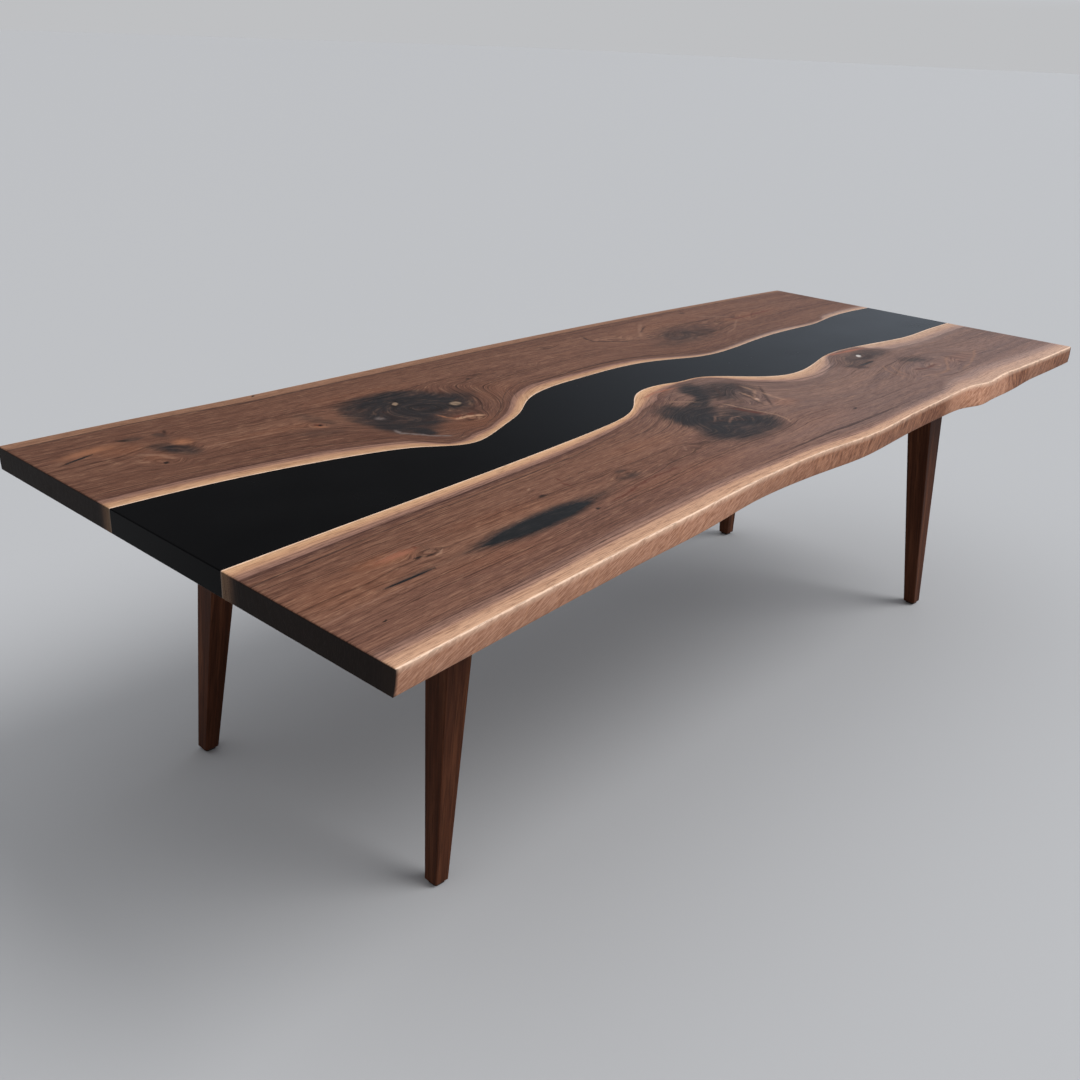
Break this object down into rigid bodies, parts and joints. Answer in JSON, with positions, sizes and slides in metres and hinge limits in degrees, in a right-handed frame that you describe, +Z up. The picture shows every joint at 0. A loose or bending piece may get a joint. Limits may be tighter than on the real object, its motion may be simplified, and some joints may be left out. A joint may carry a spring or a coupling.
{
  "type": "live edge dining table",
  "caption": "Long dining table with two live edge walnut slabs joined by a wavy black resin river, on raked, tapered square wooden legs.",
  "frame": {"origin": "on the floor, under the middle of the table's bounding box", "axes": "+X along the grain to the right end, +Y to the rear edge, +Z up"},
  "size_m": [2.6, 1.1916, 0.75],
  "materials": {
    "slab_walnut": "oiled walnut, satin, with pale sapwood along the edges",
    "black_resin": "opaque black epoxy resin, polished to a satin gloss",
    "leg_walnut": "oiled walnut, satin",
    "black_steel": "black powder coat, matt",
    "zinc_bolt": "zinc plated",
    "felt": "dark brown felt"
  },
  "bodies": {
    "root": {"crack_fill_left": "black_resin", "crack_fill_long": "black_resin", "crack_fill_rear": "black_resin", "crack_fill_right": "black_resin", "foot_pad_front_left": "felt", "foot_pad_front_right": "felt", "foot_pad_rear_left": "felt", "foot_pad_rear_right": "felt", "front_slab": "slab_walnut", "leg_front_left": "leg_walnut", "leg_front_right": "leg_walnut", "leg_plate_bolts": "zinc_bolt", "leg_plate_front_left": "black_steel", "leg_plate_front_right": "black_steel", "leg_plate_rear_left": "black_steel", "leg_plate_rear_right": "black_steel", "leg_rear_left": "leg_walnut", "leg_rear_right": "leg_walnut", "rear_slab": "slab_walnut", "resin_river": "black_resin", "stiffening_channel_left": "black_steel", "stiffening_channel_middle": "black_steel", "stiffening_channel_right": "black_steel"}
  },
  "joints": []
}
